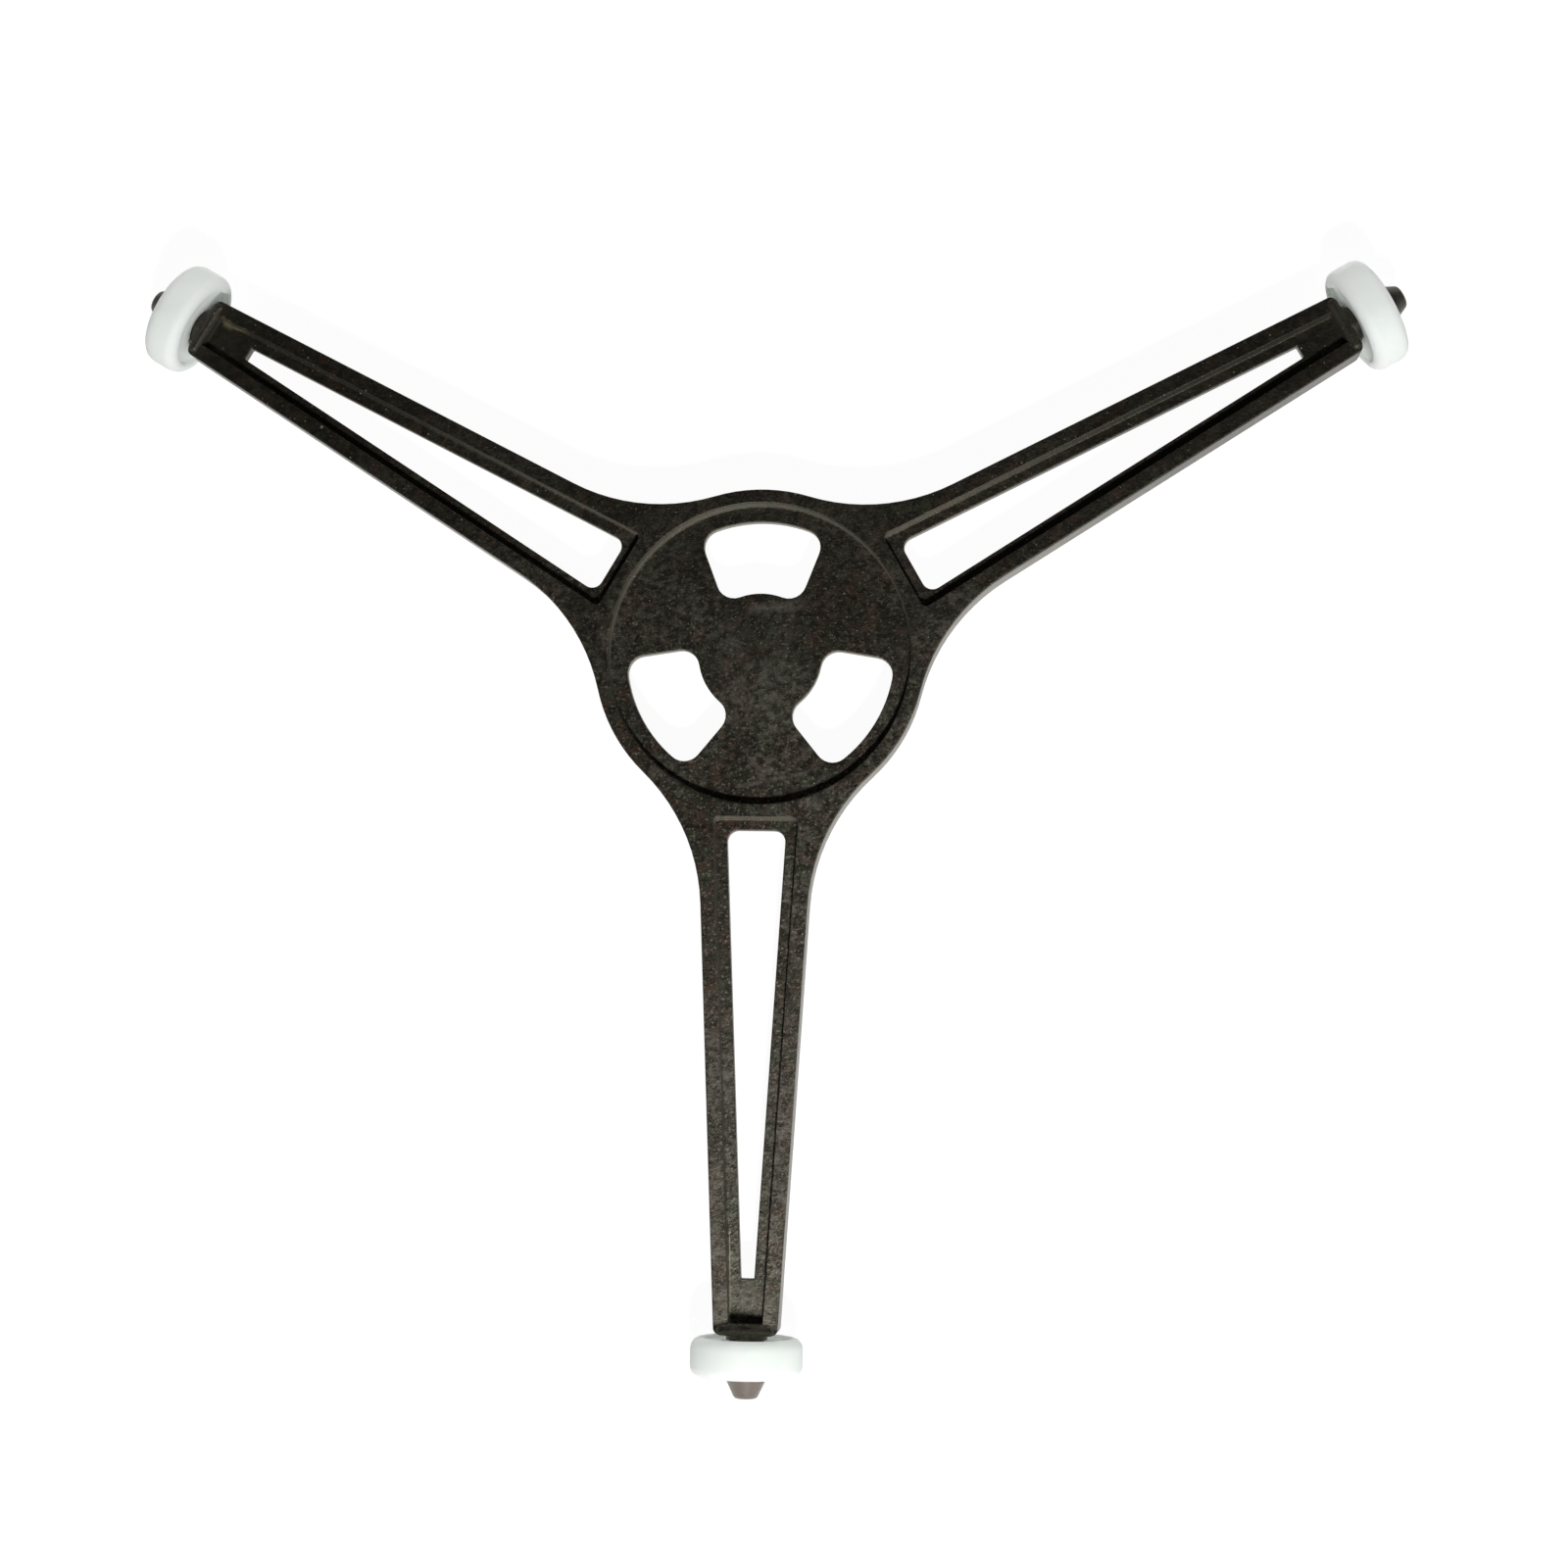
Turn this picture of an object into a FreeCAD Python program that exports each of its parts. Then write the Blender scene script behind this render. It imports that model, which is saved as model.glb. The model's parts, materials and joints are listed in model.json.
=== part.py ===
import FreeCAD, Part
import math
import os

# Roller support for the turntable of a microwave oven.
# A three-armed moulded frame carries a free roller on the end of each arm.
# Millimetres. The origin is on the hub axis, in the plane of the axles, and +Z points at the tray.
# The first arm points along -Y.

# Layout
ROLLER_NAMES = ["roller_front", "roller_right", "roller_left"]
FIRST_ARM_ANGLE = -90.0
TRACK_RADIUS = 100.4

# Section of the frame, an H on its side: a floor with rims above and below it.
# The upper edges are rounded and bevelled, and the lower ones stay sharp, as at a parting line.
FRAME_HEIGHT = 5.4
FLOOR_THICKNESS = 1.6
RIM_WIDTH = 2.2
WALL_LEAN = 0.25
OUTER_ROUND = 0.7
RIM_BEVEL = 0.3

# Hub
HUB_RADIUS = 24.0
HUB_WEB = 2.0
JUNCTION_RADIUS = 28.0
WINDOW_MARGIN = 2.3
WINDOW_LAND = 2.0
WINDOW_WIDTH = 16.7
WINDOW_WIDTH_RADIUS = 15.0
WINDOW_FLARE_ANGLE = 20.9
WINDOW_CORNER = 2.6

# Boss under the hub, with a blind socket for the drive spindle
SOCKET_DIAMETER = 7.2
SOCKET_WALL = 3.4
SOCKET_CAP = 1.5
SOCKET_CHAMFER = 0.5
BOSS_DROP = 3.0

# Arms, each built round a slot that tapers towards the roller
SLOT_ROOT_WIDTH = 8.55
SLOT_TIP_WIDTH = 1.91
SLOT_CORNER = 1.6
LEDGE_WIDTH = 1.8
TIP_FLOOR_LENGTH = 5.6
POCKET_CORNER = 0.9

# Bar across the end of each arm
BAR_WIDTH = 2.3
BAR_RISE = 0.45
BAR_ROUND = 0.9
BAR_CORNER = 1.0

# Stub axle with its collar and snap barb
AXLE_DIAMETER = 5.0
COLLAR_SHOULDER = 0.45
COLLAR_LENGTH = 0.65
BARB_CATCH = 0.4
BARB_LAND = 0.5
BARB_LENGTH = 3.35
BARB_TIP_DIAMETER = 3.2

# Rollers
ROLLER_DIAMETER = 16.0
ROLLER_WIDTH = 5.5
TREAD_ROUND = 1.2
ROUND_STEPS = 2
FACE_LAND = 0.4
DISH_DEPTH = 0.6

# Clearances of a roller: on its axle and along its axle
RADIAL_CLEARANCE = 0.08
END_PLAY = 0.3

# Values worked out from the ones above
ARM_COUNT = len(ROLLER_NAMES)
ARM_STEP = 360.0 / ARM_COUNT
RIM_TOP = FRAME_HEIGHT / 2
FLOOR_TOP = FLOOR_THICKNESS / 2
LEG_WIDTH = RIM_WIDTH + LEDGE_WIDTH
RECESS_RADIUS = HUB_RADIUS - RIM_WIDTH

BOSS_RADIUS = SOCKET_DIAMETER / 2 + SOCKET_WALL
BOSS_BOTTOM = -RIM_TOP - BOSS_DROP
SOCKET_DEPTH = FLOOR_TOP - SOCKET_CAP - BOSS_BOTTOM
WINDOW_INNER_RADIUS = BOSS_RADIUS + WINDOW_LAND
WINDOW_OUTER_RADIUS = RECESS_RADIUS - WINDOW_MARGIN

ROLLER_WEB = ROLLER_WIDTH - 2 * DISH_DEPTH
DISH_RADIUS = ROLLER_DIAMETER / 2 - TREAD_ROUND - FACE_LAND
COLLAR_END_RADIUS = TRACK_RADIUS - ROLLER_WEB / 2 - END_PLAY
BARB_START_RADIUS = TRACK_RADIUS + ROLLER_WEB / 2 + END_PLAY
BARB_TIP_RADIUS = BARB_START_RADIUS + BARB_LENGTH
BORE_DIAMETER = AXLE_DIAMETER + 2 * RADIAL_CLEARANCE
COLLAR_DIAMETER = AXLE_DIAMETER + 2 * COLLAR_SHOULDER
BARB_DIAMETER = BORE_DIAMETER + 2 * BARB_CATCH

ARM_END_RADIUS = COLLAR_END_RADIUS - COLLAR_LENGTH
BAR_INNER_RADIUS = ARM_END_RADIUS - BAR_WIDTH
BAR_MIDDLE_RADIUS = ARM_END_RADIUS - BAR_WIDTH / 2
BAR_TOP = RIM_TOP + BAR_RISE
POCKET_HUB_RADIUS = RECESS_RADIUS + HUB_WEB
SLOT_HUB_RADIUS = POCKET_HUB_RADIUS + LEDGE_WIDTH
SLOT_TIP_RADIUS = BAR_INNER_RADIUS - TIP_FLOOR_LENGTH
ARM_TAPER = (SLOT_TIP_WIDTH - SLOT_ROOT_WIDTH) / 2 / (SLOT_TIP_RADIUS - SLOT_HUB_RADIUS)
SIDE_STRETCH = math.hypot(1.0, ARM_TAPER)

ORIGIN = FreeCAD.Vector(0, 0, 0)
UP = FreeCAD.Vector(0, 0, 1)
MATCH = 1e-4


def half_width(radius, wall):
    """Half the width of an arm's slot at a distance from the hub axis, with a wall added to its side."""
    return SLOT_ROOT_WIDTH / 2 + ARM_TAPER * (radius - SLOT_HUB_RADIUS) + wall * SIDE_STRETCH


def flat(along, across, height=0.0):
    """A point of an arm that lies along +X."""
    return FreeCAD.Vector(along, across, height)


def turned(shape, index):
    """A copy of a shape, made along +X, turned to one of the arms."""
    copy = shape.copy()
    copy.rotate(ORIGIN, UP, FIRST_ARM_ANGLE + index * ARM_STEP)
    return copy


def round_corners(points, radii):
    """A closed wire of straight sides through points, each corner rounded by its own radius."""
    count = len(points)
    starts = []
    ends = []
    middles = []
    for index, corner in enumerate(points):
        to_last = (points[index - 1] - corner).normalize()
        to_next = (points[(index + 1) % count] - corner).normalize()
        half_turn = to_last.getAngle(to_next) / 2
        radius = radii[index]
        bisector = (to_last + to_next).normalize()
        starts.append(corner + to_last * (radius / math.tan(half_turn)))
        ends.append(corner + to_next * (radius / math.tan(half_turn)))
        middles.append(corner + bisector * (radius / math.sin(half_turn) - radius))
    edges = []
    for index in range(count):
        if radii[index] > 0:
            edges.append(Part.Arc(starts[index], middles[index], ends[index]).toShape())
        edges.append(Part.LineSegment(ends[index], starts[(index + 1) % count]).toShape())
    return Part.Wire(edges)


def arm_points(start, end, wall):
    """Corners of a stretch of an arm, between two distances from the hub axis, hub side first."""
    return [
        flat(start, half_width(start, wall)),
        flat(start, -half_width(start, wall)),
        flat(end, -half_width(end, wall)),
        flat(end, half_width(end, wall)),
    ]


def prism(wire, low, high):
    """A solid between two heights, from a wire drawn at height 0."""
    base = wire.copy()
    base.translate(UP * low)
    return Part.Face(base).extrude(UP * (high - low))


def lies_at(shape, height):
    """Whether an edge or a face lies wholly at one height."""
    box = shape.BoundBox
    return abs(box.ZMin - height) < MATCH and abs(box.ZMax - height) < MATCH


def edges_at(shape, height):
    """The edges that lie wholly at one height."""
    return [edge for edge in shape.Edges if lies_at(edge, height)]


def frame_outline():
    """Closed outline of the hub and arms, with the arms ending inside their end bars."""
    normal = FreeCAD.Vector(-ARM_TAPER, 1, 0) / SIDE_STRETCH
    along = FreeCAD.Vector(1, ARM_TAPER, 0) / SIDE_STRETCH
    side_distance = half_width(0.0, LEG_WIDTH) / SIDE_STRETCH
    reach = math.sqrt((HUB_RADIUS + JUNCTION_RADIUS) ** 2 - (side_distance + JUNCTION_RADIUS) ** 2)
    centre = normal * (side_distance + JUNCTION_RADIUS) + along * reach
    on_hub = centre * (HUB_RADIUS / (HUB_RADIUS + JUNCTION_RADIUS))
    on_side = centre - normal * JUNCTION_RADIUS
    between = centre + (on_hub + on_side - centre * 2).normalize() * JUNCTION_RADIUS
    end = flat(BAR_MIDDLE_RADIUS, half_width(BAR_MIDDLE_RADIUS, LEG_WIDTH))

    def mirrored(point):
        return FreeCAD.Vector(point.x, -point.y, point.z)

    next_hub = FreeCAD.Rotation(UP, ARM_STEP).multVec(mirrored(on_hub))
    hub_middle = FreeCAD.Rotation(UP, ARM_STEP / 2).multVec(flat(HUB_RADIUS, 0))
    pieces = [
        Part.Arc(mirrored(on_hub), mirrored(between), mirrored(on_side)).toShape(),
        Part.LineSegment(mirrored(on_side), mirrored(end)).toShape(),
        Part.LineSegment(mirrored(end), end).toShape(),
        Part.LineSegment(end, on_side).toShape(),
        Part.Arc(on_side, between, on_hub).toShape(),
        Part.Arc(on_hub, hub_middle, next_hub).toShape(),
    ]
    edges = []
    for index in range(ARM_COUNT):
        edges.extend(turned(piece, index) for piece in pieces)
    return Part.Wire(edges)


def hub_recess(bevel):
    """Cutter for the round recess above the hub's floor, with a bevel at its edge."""
    depth = RIM_TOP - bevel - FLOOR_TOP
    recess = Part.makeCone(RECESS_RADIUS - WALL_LEAN, RECESS_RADIUS, depth, flat(0, 0, FLOOR_TOP), UP)
    if bevel > 0:
        edge = flat(0, 0, RIM_TOP - bevel)
        recess = recess.fuse(Part.makeCone(RECESS_RADIUS, RECESS_RADIUS + bevel, bevel, edge, UP))
    return recess


def pocket_wire(lean, height):
    """Outline of an arm's pocket at one height, moved in by lean, and open under the end bar."""
    points = arm_points(POCKET_HUB_RADIUS + lean, ARM_END_RADIUS, LEDGE_WIDTH - lean)
    corner = POCKET_CORNER - lean
    wire = round_corners(points, [corner, corner, 0.0, 0.0])
    wire.translate(UP * height)
    return wire


def arm_pocket(bevel):
    """Cutter for the recess above the floor of an arm, with leaning walls and a bevel at its edge."""
    sections = [pocket_wire(WALL_LEAN, FLOOR_TOP), pocket_wire(0.0, RIM_TOP - bevel)]
    if bevel > 0:
        sections.append(pocket_wire(-bevel, RIM_TOP))
    return Part.makeLoft(sections, True, True)


def below(shape):
    """The same cutter on the underside of the floor."""
    return shape.mirror(ORIGIN, UP)


def arm_slot():
    """Cutter for the slot through the floor of an arm, which tapers with the arm."""
    points = arm_points(SLOT_HUB_RADIUS, SLOT_TIP_RADIUS, 0.0)
    wire = round_corners(points, [SLOT_CORNER, SLOT_CORNER, 0.0, 0.0])
    return prism(wire, -RIM_TOP, RIM_TOP)


def hub_window():
    """Cutter for a window through the hub's floor, between two arcs round the axis and two flaring sides."""
    flare = math.tan(math.radians(WINDOW_FLARE_ANGLE))
    past = WINDOW_OUTER_RADIUS + WINDOW_MARGIN
    inner_half = WINDOW_WIDTH / 2 - flare * WINDOW_WIDTH_RADIUS
    outer_half = WINDOW_WIDTH / 2 + flare * (past - WINDOW_WIDTH_RADIUS)
    points = [flat(0, -inner_half), flat(past, -outer_half), flat(past, outer_half), flat(0, inner_half)]
    wedge = prism(Part.makePolygon(points + points[:1]), -RIM_TOP, RIM_TOP)
    start = flat(0, 0, -RIM_TOP)
    outer = Part.makeCylinder(WINDOW_OUTER_RADIUS, FRAME_HEIGHT, start, UP)
    inner = Part.makeCylinder(WINDOW_INNER_RADIUS, FRAME_HEIGHT, start, UP)
    sector = wedge.common(outer).cut(inner)
    upright = [edge for edge in sector.Edges if edge.BoundBox.ZLength > FRAME_HEIGHT / 2]
    corner = min(WINDOW_CORNER, (WINDOW_OUTER_RADIUS - WINDOW_INNER_RADIUS) / 3)
    window = sector.makeFillet(corner, upright)
    window.rotate(ORIGIN, UP, ARM_STEP / 2)
    return window


def end_bar():
    """Rounded bar across the end of an arm, a little higher than the rims."""
    corners = arm_points(BAR_INNER_RADIUS, ARM_END_RADIUS, LEG_WIDTH)
    plan = prism(round_corners(corners, [0.0, 0.0, BAR_CORNER, BAR_CORNER]), -BAR_TOP, BAR_TOP)
    side = half_width(BAR_INNER_RADIUS, LEG_WIDTH)
    section = [
        flat(BAR_INNER_RADIUS, -side, -BAR_TOP),
        flat(ARM_END_RADIUS, -side, -BAR_TOP),
        flat(ARM_END_RADIUS, -side, BAR_TOP),
        flat(BAR_INNER_RADIUS, -side, BAR_TOP),
    ]
    bar = Part.Face(round_corners(section, [BAR_ROUND] * len(section))).extrude(flat(0, 2 * side))
    return bar.common(plan)


def revolved(points):
    """A solid turned about the X axis from the (along, radius) points of its section."""
    corners = [flat(along, radius) for along, radius in points]
    profile = Part.Face(Part.makePolygon(corners + corners[:1]))
    return profile.revolve(ORIGIN, FreeCAD.Vector(1, 0, 0), 360)


def stub_axle():
    """Collar, journal and snap barb, in one piece with the arm."""
    return revolved([
        (BAR_MIDDLE_RADIUS, 0.0),
        (BAR_MIDDLE_RADIUS, COLLAR_DIAMETER / 2),
        (COLLAR_END_RADIUS, COLLAR_DIAMETER / 2),
        (COLLAR_END_RADIUS, AXLE_DIAMETER / 2),
        (BARB_START_RADIUS, AXLE_DIAMETER / 2),
        (BARB_START_RADIUS, BARB_DIAMETER / 2),
        (BARB_START_RADIUS + BARB_LAND, BARB_DIAMETER / 2),
        (BARB_TIP_RADIUS, BARB_TIP_DIAMETER / 2),
        (BARB_TIP_RADIUS, 0.0),
    ])


def drive_boss():
    """Boss under the middle of the hub, still solid."""
    return Part.makeCylinder(BOSS_RADIUS, -BOSS_BOTTOM, flat(0, 0, BOSS_BOTTOM), UP)


def drive_socket():
    """Cutter for the blind socket of the drive spindle, with a chamfered mouth."""
    mouth_radius = SOCKET_DIAMETER / 2 + SOCKET_CHAMFER
    bottom = flat(0, 0, BOSS_BOTTOM)
    bore = Part.makeCylinder(SOCKET_DIAMETER / 2, SOCKET_DEPTH, bottom, UP)
    mouth = Part.makeCone(mouth_radius, SOCKET_DIAMETER / 2, SOCKET_CHAMFER, bottom, UP)
    return bore.fuse(mouth)


def spider_frame():
    """The whole moulding: hub, arms, end bars, axles and drive boss."""
    body = prism(frame_outline(), -RIM_TOP, RIM_TOP)
    top_edges = [edge for edge in edges_at(body, RIM_TOP)
                 if math.hypot(edge.CenterOfMass.x, edge.CenterOfMass.y) < BAR_INNER_RADIUS]
    body = body.makeFillet(OUTER_ROUND, top_edges)
    cutters = [hub_recess(RIM_BEVEL), below(hub_recess(0.0))]
    for index in range(ARM_COUNT):
        cutters.append(turned(arm_pocket(RIM_BEVEL), index))
        cutters.append(turned(below(arm_pocket(0.0)), index))
        cutters.append(turned(arm_slot(), index))
        cutters.append(turned(hub_window(), index))
    body = body.cut(cutters)
    additions = [drive_boss()]
    for index in range(ARM_COUNT):
        additions.append(turned(end_bar(), index))
        additions.append(turned(stub_axle(), index))
    return body.fuse(additions).cut(drive_socket()).removeSplitter()


def tread_edge():
    """Points round the edge between a roller's side and its tread, as (offset, radius)."""
    turns = [math.pi / 2 * step / ROUND_STEPS for step in range(ROUND_STEPS + 1)]
    return [(ROLLER_WIDTH / 2 - TREAD_ROUND * (1 - math.cos(turn)),
             ROLLER_DIAMETER / 2 - TREAD_ROUND * (1 - math.sin(turn))) for turn in turns]


def roller():
    """One roller along +X, with rounded edges to its tread and a shallow dish on both sides."""
    web = ROLLER_WEB / 2
    side = [(web, BORE_DIAMETER / 2), (web, DISH_RADIUS), (ROLLER_WIDTH / 2, DISH_RADIUS)]
    side.extend(tread_edge())
    near = [(TRACK_RADIUS - offset, radius) for offset, radius in side]
    far = [(TRACK_RADIUS + offset, radius) for offset, radius in reversed(side)]
    return revolved(near + far)


os.makedirs("parts", exist_ok=True)
spider_frame().exportStep("parts/spider_frame.step")
for number, name in enumerate(ROLLER_NAMES):
    turned(roller(), number).exportStep("parts/" + name + ".step")
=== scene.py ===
import json
import math
from types import SimpleNamespace

import bmesh
import bpy
from bpy.props import FloatProperty, FloatVectorProperty, PointerProperty
from mathutils import Matrix, Vector
from mathutils.geometry import tessellate_polygon


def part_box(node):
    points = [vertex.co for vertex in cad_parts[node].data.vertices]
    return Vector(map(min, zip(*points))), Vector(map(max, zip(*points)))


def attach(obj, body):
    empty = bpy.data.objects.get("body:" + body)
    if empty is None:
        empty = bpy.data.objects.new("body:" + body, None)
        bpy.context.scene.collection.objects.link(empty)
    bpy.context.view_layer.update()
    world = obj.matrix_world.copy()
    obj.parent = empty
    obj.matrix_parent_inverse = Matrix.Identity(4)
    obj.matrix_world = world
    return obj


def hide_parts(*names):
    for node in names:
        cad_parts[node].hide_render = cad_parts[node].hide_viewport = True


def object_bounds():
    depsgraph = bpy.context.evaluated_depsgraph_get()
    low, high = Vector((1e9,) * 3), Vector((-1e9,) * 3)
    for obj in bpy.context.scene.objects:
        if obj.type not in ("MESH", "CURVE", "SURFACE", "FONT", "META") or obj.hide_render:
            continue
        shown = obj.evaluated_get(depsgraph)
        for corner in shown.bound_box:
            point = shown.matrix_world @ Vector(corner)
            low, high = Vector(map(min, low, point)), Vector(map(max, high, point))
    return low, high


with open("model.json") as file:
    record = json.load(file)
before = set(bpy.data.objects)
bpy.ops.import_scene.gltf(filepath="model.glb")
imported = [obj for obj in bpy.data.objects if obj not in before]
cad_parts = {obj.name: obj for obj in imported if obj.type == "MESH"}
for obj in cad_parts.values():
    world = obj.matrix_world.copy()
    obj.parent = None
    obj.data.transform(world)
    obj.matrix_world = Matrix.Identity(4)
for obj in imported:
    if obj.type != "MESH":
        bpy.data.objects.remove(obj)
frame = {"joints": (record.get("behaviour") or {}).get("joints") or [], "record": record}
CAD_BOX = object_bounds()

bl_info = {
    "name": "Microwave roller ring",
    "version": (1, 0, 0),
    "blender": (4, 5, 0),
    "location": "View3D > Sidebar > Roller ring",
    "description": "Builds the three-armed roller support of a microwave turntable",
    "category": "Object",
}

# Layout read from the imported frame, in metres
MM = 0.001
FRAME_BODY = "frame"
SPIDER_NODE = "spider_frame"
JOINTS = frame["joints"]
BODIES = frame["record"]["behaviour"]["bodies"]
ARM_ANGLES = [math.atan2(joint["axis"][1], joint["axis"][0]) for joint in JOINTS]
ARM_STEP = math.tau / len(JOINTS)
TRACK_RADIUS = Vector(JOINTS[0]["pos_m"]).length
SPIDER_LOW, SPIDER_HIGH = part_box(SPIDER_NODE)
ROLLER_LOW, ROLLER_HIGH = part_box(BODIES[JOINTS[0]["child"]][0])
SOCKET_RADIUS = frame["record"]["mounts"][0]["dims"]["r_mm"] * MM
BAR_RISE = 0.45 * MM

# Fineness of the meshes
PLAN_STEP = math.radians(4)
EDGE_STEP = math.radians(15)
TURNED_SEGMENTS = 128
CORNER_STEPS = 6
SHARP_ANGLE = math.radians(40)
SAME_POINT = 1e-6

# Length of the faces that only give the ends of an edge profile their direction
REACH = 10 * MM

# Names and inputs that the trees for turned pieces share
ROUND_ATTRIBUTE = "corner_round"
TURNED_TREE = "Turned piece"
TURNING = {"Segments": TURNED_SEGMENTS, "Corner Steps": CORNER_STEPS, "Sharp Angle": SHARP_ANGLE}

# Most of a window's depth that a corner round may take
CORNER_SHARE = 1 / 3

# Where the dull surface of an arm gives way to the polished axle, by distance from a roller's middle
AXLE_ROOT = 3.0 * MM
AXLE_BLEND = 0.1 * MM
AXLE_BAND = (TRACK_RADIUS - AXLE_ROOT, TRACK_RADIUS - AXLE_ROOT + AXLE_BLEND)

# Noise in the plastics: scale per metre, detail and roughness
FRAME_NOISE = {
    "clouds": (300.0, 4.0, 0.7),
    "film": (55.0, 4.0, 0.62),
    "patches": (330.0, 2.0, 0.5),
    "blotches": (900.0, 4.0, 0.7),
    "grain": (2200.0, 2.0, 0.6),
    "specks": (2600.0, 1.0, 0.4),
    "veil": (1000.0, 4.0, 0.8),
}
ROLLER_CLOUDS = (160.0, 3.0, 0.55)
ROLLER_GRAIN = (1500.0, 2.0, 0.5)

# Values of a noise at which a tone starts and is full
RED_TINT = (0.38, 0.5)
GREEN_TINT = (0.52, 0.66)
MOTTLING = (0.40, 0.60)
FILM_SPREAD = (0.40, 0.66)
DUST_SPREAD = (0.44, 0.66)
VEIL_SPREAD = (0.44, 0.57)
PATCH_SPREAD = (0.42, 0.56)
SALT_SPREAD = (0.56, 0.70)
SPECK_SPREAD = (0.72, 0.80)
MARK_BREAKS = (0.25, 0.55)
ROLLER_SPREAD = (0.35, 0.65)

# Parts of the normal, upwards or towards the back, at which a finish starts and is full
UPRIGHT_SLOPE = (0.8, 0.25)
EDGE_START = (0.995, 0.9)
EDGE_END = (0.2, 0.6)
# painted light: walls that face the front, towards the main lamp, are painted paler
LIT_WALL_TURN = (0.5, -0.2)

# Places at which a finish starts and is full: along Y, from the hub axis and upwards
# painted light: the tone is lighter towards the first arm, nearest the main lamp, and darker towards the
# back
LIT_FRONT_SIDE = (45 * MM, -60 * MM)
OUT_ON_ARM = (-28 * MM, -85 * MM)
# wear and painted light: upright walls painted paler on the first arm, nearest the main lamp
WEAR_AND_LIGHT_ARM = (-20 * MM, -50 * MM)
# painted light: the end of the first axle, which faces the main lamp, is painted pale
LIT_AXLE_END = (-103.0 * MM, -103.4 * MM)
# wear and painted light: upright walls painted paler by the hub, nearer the main lamp than the back arms
WEAR_AND_LIGHT_HUB = (70 * MM, 26 * MM)
LEDGE_HEIGHT = (1.6 * MM, 1.0 * MM)
WALL_HEIGHT = (3.0 * MM, 0.3 * MM)
UNDER_FLOOR = (0.8 * MM, 0.2 * MM)
UPPER_SIDE = (0.0, 0.5 * MM)

# How much of a value counts and, where there are two numbers, the base that it is added to
VEIL_SHARE = 0.95
PATCHY_SHARE = (0.8, 0.2)
# painted light: share of the front-to-back tone gradient, and its base at the back
LIT_FRONT_SHARE = (0.7, 0.25)
SALT_BASE = 0.06
# wear and painted light on the walls: its share, and the base at the back arms
WEAR_AND_LIGHT_SHARE = (0.7, 0.2)
WALL_SHARE = (0.6, 0.4)

# Gloss and relief of the plastics
FRAME_UNEVEN = 0.2
FRAME_ROUGHNESS = 0.215
EDGE_ROUGHNESS = 0.15
AXLE_GLOSS = 0.17
FRAME_SPECULAR = 0.7
FRAME_SPECULAR_TINT = (1.0, 0.91, 0.73, 1.0)
GRAIN_RELIEF = 0.6
FRAME_BUMP = 0.8
ROLLER_ROUGHNESS = (0.15, 0.48)
ROLLER_SPECULAR = 0.3
ROLLER_DEPTH = 4 * MM
ROLLER_BUMP = 0.08
BUMP_DEPTH = 0.1 * MM

# Backdrop: white to the camera and in reflections, with a grey that lets a faint shadow show
WHITE = (1.0, 1.0, 1.0, 1.0)
WHITE_STRENGTH = 0.95
SHADOW_FLOOR = (0.16, 0.16, 0.16, 1.0)

# Lamps: name, place and size in metres, the setting with its power, and whether it shows in gloss
LAMPS = (
    ("key_lamp", (0.103, -0.447, 0.588), (0.08, 0.08), "key_power", True),
    ("fill_lamp", (-0.05, 0.75, 0.10), (1.3, 0.16), "fill_power", False),
    ("side_lamp", (0.8, -0.35, 0.2), (0.8, 0.3), "side_power", True),
)
CAMERA_CLIP = 0.01

# Marks on the upper side: start and end seen from above and half width in millimetres, strength, tone. The
# last one, in the dust tone, is a painted highlight along the crest of the first arm's end bar.
MARKS = (
    ((-80.9, 49.3), (-80.3, 48.9), 0.9, 0.9, "frame_olive"),
    ((-80.0, 48.75), (-77.4, 47.8), 0.3, 0.8, "frame_olive"),
    ((-2.67, -82.6), (-2.33, -95.6), 0.16, 0.7, "frame_scratch"),
    ((-2.5, -82.7), (-2.5, -82.7), 0.3, 1.0, "frame_speck"),
    ((-2.4, -85.8), (-2.4, -85.8), 0.3, 1.0, "frame_speck"),
    ((-65.4, 33.2), (-65.4, 33.2), 0.35, 1.0, "frame_speck"),
    ((-0.9, 6.6), (5.1, 7.2), 1.3, 0.5, "frame_dust"),
    ((-4.0, 2.0), (-3.0, -8.0), 5.0, 0.14, "frame_dust"),
    ((3.5, 3.0), (3.0, -9.0), 4.5, 0.14, "frame_dust"),
    ((-1.0, -91.0), (1.5, -92.5), 4.0, 0.5, "frame_dust"),
    ((-2.9, -19.3), (6.8, -17.2), 0.5, 0.45, "frame_dust"),
    # painted highlight: a pale line in the dust tone along the crest of the first arm's end bar
    ((-4.0, -96.45), (4.0, -96.45), 0.9, 0.9, "frame_dust"),
)


def length(name, description, default):
    """A size in metres that a user can change."""
    return FloatProperty(
        name=name, description=description, default=default, min=0.0, precision=5, unit="LENGTH"
    )


def colour(name, description, default):
    """A linear colour that a user can change."""
    return FloatVectorProperty(
        name=name, description=description, default=default, size=3, min=0.0, max=1.0, subtype="COLOR"
    )


def power(name, description, default):
    """A lamp's power in watts that a user can change."""
    return FloatProperty(name=name, description=description, default=default, min=0.0, unit="POWER")


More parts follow.
